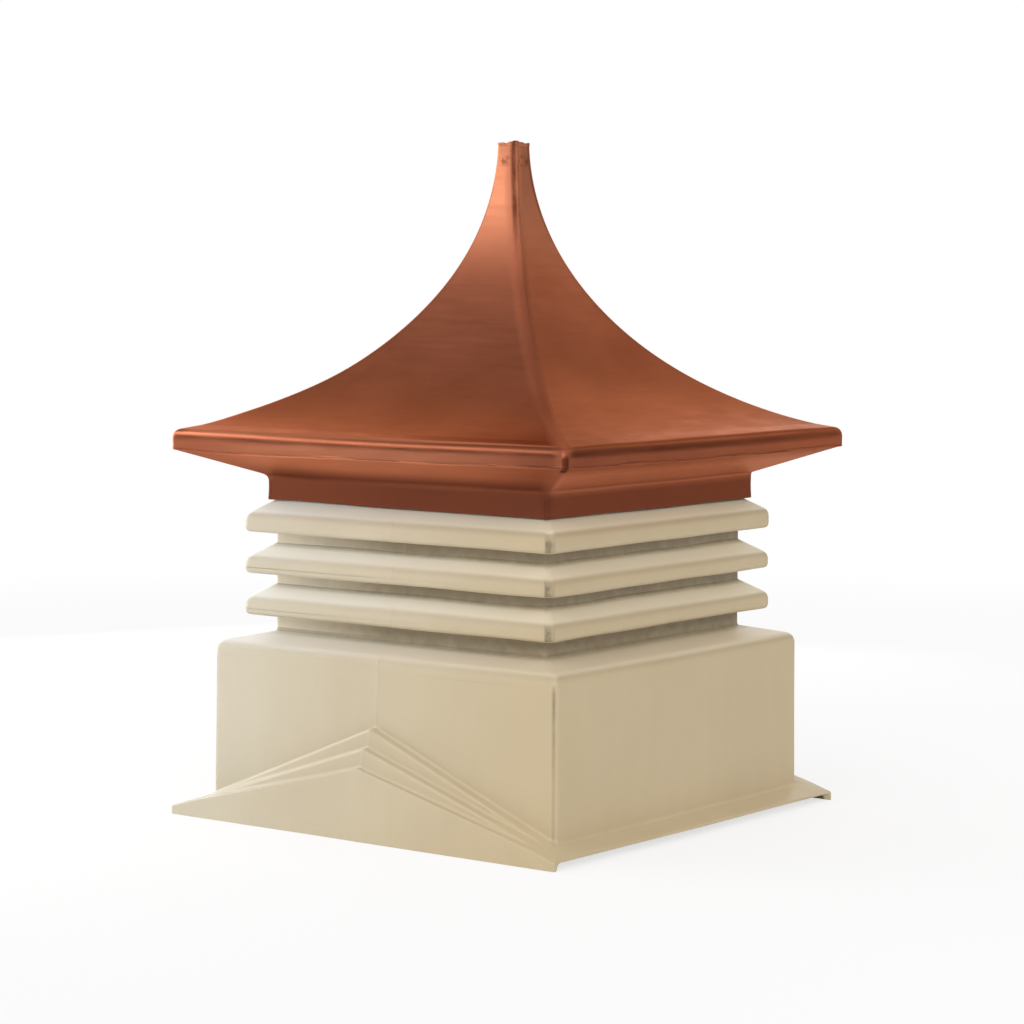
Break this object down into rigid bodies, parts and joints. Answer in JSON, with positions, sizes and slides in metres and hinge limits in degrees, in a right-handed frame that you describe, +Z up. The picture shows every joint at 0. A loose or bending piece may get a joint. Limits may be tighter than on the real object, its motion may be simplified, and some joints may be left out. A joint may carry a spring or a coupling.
{
  "type": "louvred barn cupola",
  "caption": "Square roof cupola: tan moulded base cut for a gable ridge, louvred neck, and a concave copper-finish roof with a flat tip.",
  "frame": {"origin": "centre of the footprint, on the plane the aprons stand on", "axes": "+Z up; the gable aprons face -Y and +Y, the eave flanges face +X and -X"},
  "size_m": [0.697, 0.697, 0.966],
  "materials": {
    "tan_moulding": "satin moulded plastic, tan",
    "copper_roof": "satin copper, lightly brushed and mottled"
  },
  "bodies": {
    "root": {"front_base_wall": "tan_moulding", "right_base_wall": "tan_moulding", "back_base_wall": "tan_moulding", "left_base_wall": "tan_moulding", "front_apron": "tan_moulding", "back_apron": "tan_moulding", "right_flange": "tan_moulding", "left_flange": "tan_moulding", "front_shoulder": "tan_moulding", "right_shoulder": "tan_moulding", "back_shoulder": "tan_moulding", "left_shoulder": "tan_moulding", "front_neck_wall": "tan_moulding", "right_neck_wall": "tan_moulding", "back_neck_wall": "tan_moulding", "left_neck_wall": "tan_moulding", "front_louvre_bottom": "tan_moulding", "right_louvre_bottom": "tan_moulding", "back_louvre_bottom": "tan_moulding", "left_louvre_bottom": "tan_moulding", "front_louvre_middle": "tan_moulding", "right_louvre_middle": "tan_moulding", "back_louvre_middle": "tan_moulding", "left_louvre_middle": "tan_moulding", "front_louvre_top": "tan_moulding", "right_louvre_top": "tan_moulding", "back_louvre_top": "tan_moulding", "left_louvre_top": "tan_moulding", "front_soffit": "copper_roof", "right_soffit": "copper_roof", "back_soffit": "copper_roof", "left_soffit": "copper_roof", "front_fascia": "copper_roof", "right_fascia": "copper_roof", "back_fascia": "copper_roof", "left_fascia": "copper_roof", "front_roof_panel": "copper_roof", "right_roof_panel": "copper_roof", "back_roof_panel": "copper_roof", "left_roof_panel": "copper_roof", "spire_cap": "copper_roof"}
  },
  "joints": []
}
